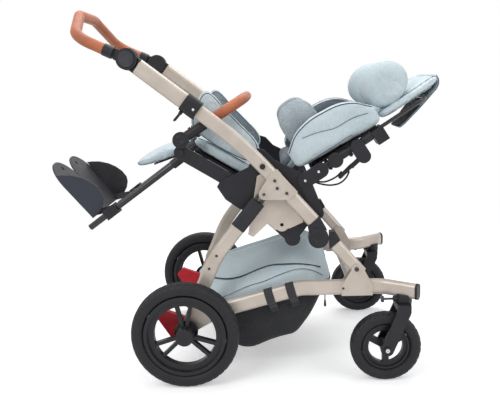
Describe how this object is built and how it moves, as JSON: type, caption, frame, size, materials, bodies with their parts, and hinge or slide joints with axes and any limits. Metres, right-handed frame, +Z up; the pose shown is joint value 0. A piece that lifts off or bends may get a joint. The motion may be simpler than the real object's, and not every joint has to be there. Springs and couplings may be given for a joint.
{
  "type": "special needs buggy",
  "caption": "Folding buggy for a disabled child: tilting, reclining padded seat on a tubular frame with castors, push handle, footplate and basket.",
  "frame": {"origin": "on the ground, midway between the ends and the sides of the whole buggy", "axes": "+X towards the castors, +Y towards the left side as seen from the handle with +X ahead, +Z up"},
  "size_m": [1.1426, 0.622, 1.0471],
  "materials": {
    "champagne_paint": "satin champagne paint",
    "black_paint": "black paint on aluminium",
    "black_plastic": "fine-grained black moulding",
    "tyre_rubber": "matt black tyre",
    "pale_fabric": "pale sage woven cover over foam",
    "spacer_mesh": "grey spacer mesh",
    "brown_leather": "stitched tan leather",
    "red_plastic": "red moulding",
    "bright_steel": "bright steel",
    "grey_plastic": "grey moulding"
  },
  "bodies": {
    "base": {"base_tubes": "champagne_paint", "front_fittings": "black_plastic", "front_brackets": "champagne_paint", "rear_axle": "champagne_paint", "rear_legs": "champagne_paint", "strut_sleeves": "black_plastic", "strut_rods": "bright_steel", "basket": "pale_fabric"},
    "push_frame": {"push_tubes": "champagne_paint", "gusset_plates": "champagne_paint", "carrier_plates": "champagne_paint", "fold_hubs": "black_plastic"},
    "front_leg": {"front_legs": "champagne_paint", "leg_collars": "black_plastic"},
    "handle_slide": {"outer_tubes": "champagne_paint", "height_clamps": "black_plastic", "handle_hinges": "black_plastic"},
    "handle": {"handle_bar": "bright_steel", "handle_ends": "black_plastic", "handle_grip": "brown_leather"},
    "seat": {"seat_plates": "black_paint", "seat_rails": "black_plastic", "seat_cushion": "pale_fabric", "side_panels": "pale_fabric", "knee_hubs": "black_plastic"},
    "bumper": {"bumper_bar": "brown_leather"},
    "legrest": {"legrest_hangers": "black_plastic", "calf_pad": "pale_fabric", "foot_tubes": "black_paint"},
    "foot_slide": {"foot_clamps": "black_plastic"},
    "foot_tilt": {"footplate": "black_plastic"},
    "backrest": {"back_frame": "black_paint", "back_board": "black_plastic", "back_cushion": "pale_fabric", "trunk_pads": "spacer_mesh", "back_clamps": "black_plastic", "recline_cables": "black_plastic"},
    "lever": {"recline_lever": "black_plastic"},
    "headrest": {"head_frame": "black_paint", "headrest_pads": "pale_fabric"},
    "rear_wheel_right": {"rear_tyre_right": "tyre_rubber", "rear_rim_right": "black_plastic"},
    "castor_swivel_right": {"castor_fork_right": "black_plastic"},
    "castor_wheel_right": {"castor_tyre_right": "tyre_rubber", "castor_rim_right": "black_plastic"},
    "castor_lock_right": {"castor_lock_right": "grey_plastic"},
    "brake_pedal_right": {"brake_pedal_right": "red_plastic"},
    "clamp_lever_right": {"clamp_lever_right": "black_plastic"},
    "handle_button_right": {"handle_button_right": "grey_plastic"},
    "bumper_button_right": {"bumper_button_right": "red_plastic"},
    "rear_wheel_left": {"rear_tyre_left": "tyre_rubber", "rear_rim_left": "black_plastic"},
    "castor_swivel_left": {"castor_fork_left": "black_plastic"},
    "castor_wheel_left": {"castor_tyre_left": "tyre_rubber", "castor_rim_left": "black_plastic"},
    "castor_lock_left": {"castor_lock_left": "grey_plastic"},
    "brake_pedal_left": {"brake_pedal_left": "red_plastic"},
    "clamp_lever_left": {"clamp_lever_left": "black_plastic"},
    "handle_button_left": {"handle_button_left": "grey_plastic"},
    "bumper_button_left": {"bumper_button_left": "red_plastic"}
  },
  "joints": [
    {"name": "frame_fold", "type": "hinge", "parent": "base", "child": "push_frame", "pos_m": [0.05228, 0, 0.53], "axis": [0, -1, 0], "range_deg": [0, 8]},
    {"name": "front_leg_fold", "type": "hinge", "parent": "base", "child": "front_leg", "pos_m": [0.30228, 0, 0.31], "axis": [0, 1, 0], "range_deg": [0, 11]},
    {"name": "handle_height", "type": "slide", "parent": "push_frame", "child": "handle_slide", "axis": [-0.7824, 0, 0.6228], "range_m": [-0.03, 0.06]},
    {"name": "handle_angle", "type": "hinge", "parent": "handle_slide", "child": "handle", "pos_m": [-0.29772, 0, 0.9], "axis": [0, -1, 0], "range_deg": [-40, 25]},
    {"name": "seat_tilt", "type": "hinge", "parent": "push_frame", "child": "seat", "pos_m": [0.04928, 0, 0.605], "axis": [0, -1, 0], "range_deg": [-5, 12]},
    {"name": "bumper_pull", "type": "slide", "parent": "seat", "child": "bumper", "axis": [0.8527, 0, 0.5224], "range_m": [0, 0.03]},
    {"name": "legrest_angle", "type": "hinge", "parent": "seat", "child": "legrest", "pos_m": [-0.17472, 0, 0.646], "axis": [0, -1, 0], "range_deg": [-30, 15]},
    {"name": "footrest_length", "type": "slide", "parent": "legrest", "child": "foot_slide", "axis": [-0.8192, 0, -0.5736], "range_m": [-0.05, 0.045]},
    {"name": "footplate_angle", "type": "hinge", "parent": "foot_slide", "child": "foot_tilt", "pos_m": [-0.38377, 0, 0.48253], "axis": [0, 1, 0], "range_deg": [-20, 30]},
    {"name": "backrest_recline", "type": "hinge", "parent": "seat", "child": "backrest", "pos_m": [0.16428, 0, 0.558], "axis": [0, -1, 0], "range_deg": [-10, 20]},
    {"name": "recline_lever_pull", "type": "hinge", "parent": "backrest", "child": "lever", "pos_m": [0.2954, -0.186, 0.59159], "axis": [0, 1, 0], "range_deg": [0, 15]},
    {"name": "headrest_height", "type": "slide", "parent": "backrest", "child": "headrest", "axis": [0.848, 0, 0.5299], "range_m": [0, 0.05]},
    {"name": "rear_wheel_spin_right", "type": "hinge", "parent": "base", "child": "rear_wheel_right", "pos_m": [-0.17872, -0.285, 0.15], "axis": [0, 1, 0], "continuous": true},
    {"name": "castor_turn_right", "type": "hinge", "parent": "base", "child": "castor_swivel_right", "pos_m": [0.42528, -0.266, 0.22], "axis": [0, 0, 1], "continuous": true},
    {"name": "castor_spin_right", "type": "hinge", "parent": "castor_swivel_right", "child": "castor_wheel_right", "pos_m": [0.37428, -0.266, 0.0975], "axis": [0, 1, 0], "continuous": true},
    {"name": "castor_lock_pull_right", "type": "slide", "parent": "base", "child": "castor_lock_right", "axis": [-1, 0, 0], "range_m": [0, 0.008]},
    {"name": "brake_press_right", "type": "hinge", "parent": "base", "child": "brake_pedal_right", "pos_m": [-0.17872, -0.204, 0.15], "axis": [0, -1, 0], "range_deg": [0, 20]},
    {"name": "clamp_lever_turn_right", "type": "hinge", "parent": "handle_slide", "child": "clamp_lever_right", "pos_m": [-0.16568, -0.23, 0.75438], "axis": [0, 1, 0], "range_deg": [0, 60]},
    {"name": "handle_button_push_right", "type": "slide", "parent": "handle", "child": "handle_button_right", "axis": [0, 1, 0], "range_m": [0, 0.0025]},
    {"name": "bumper_button_push_right", "type": "slide", "parent": "seat", "child": "bumper_button_right", "axis": [0.5224, 0, -0.8527], "range_m": [0, 0.002]},
    {"name": "rear_wheel_spin_left", "type": "hinge", "parent": "base", "child": "rear_wheel_left", "pos_m": [-0.17872, 0.285, 0.15], "axis": [0, 1, 0], "continuous": true},
    {"name": "castor_turn_left", "type": "hinge", "parent": "base", "child": "castor_swivel_left", "pos_m": [0.42528, 0.266, 0.22], "axis": [0, 0, 1], "continuous": true},
    {"name": "castor_spin_left", "type": "hinge", "parent": "castor_swivel_left", "child": "castor_wheel_left", "pos_m": [0.37428, 0.266, 0.0975], "axis": [0, 1, 0], "continuous": true},
    {"name": "castor_lock_pull_left", "type": "slide", "parent": "base", "child": "castor_lock_left", "axis": [-1, 0, 0], "range_m": [0, 0.008]},
    {"name": "brake_press_left", "type": "hinge", "parent": "base", "child": "brake_pedal_left", "pos_m": [-0.17872, 0.204, 0.15], "axis": [0, -1, 0], "range_deg": [0, 20]},
    {"name": "clamp_lever_turn_left", "type": "hinge", "parent": "handle_slide", "child": "clamp_lever_left", "pos_m": [-0.16568, 0.23, 0.75438], "axis": [0, 1, 0], "range_deg": [0, 60]},
    {"name": "handle_button_push_left", "type": "slide", "parent": "handle", "child": "handle_button_left", "axis": [0, -1, 0], "range_m": [0, 0.0025]},
    {"name": "bumper_button_push_left", "type": "slide", "parent": "seat", "child": "bumper_button_left", "axis": [0.5224, 0, -0.8527], "range_m": [0, 0.002]}
  ],
  "couplings": [
    {"joint": "front_leg_fold", "follows": "frame_fold", "ratio": 1.3616}
  ]
}
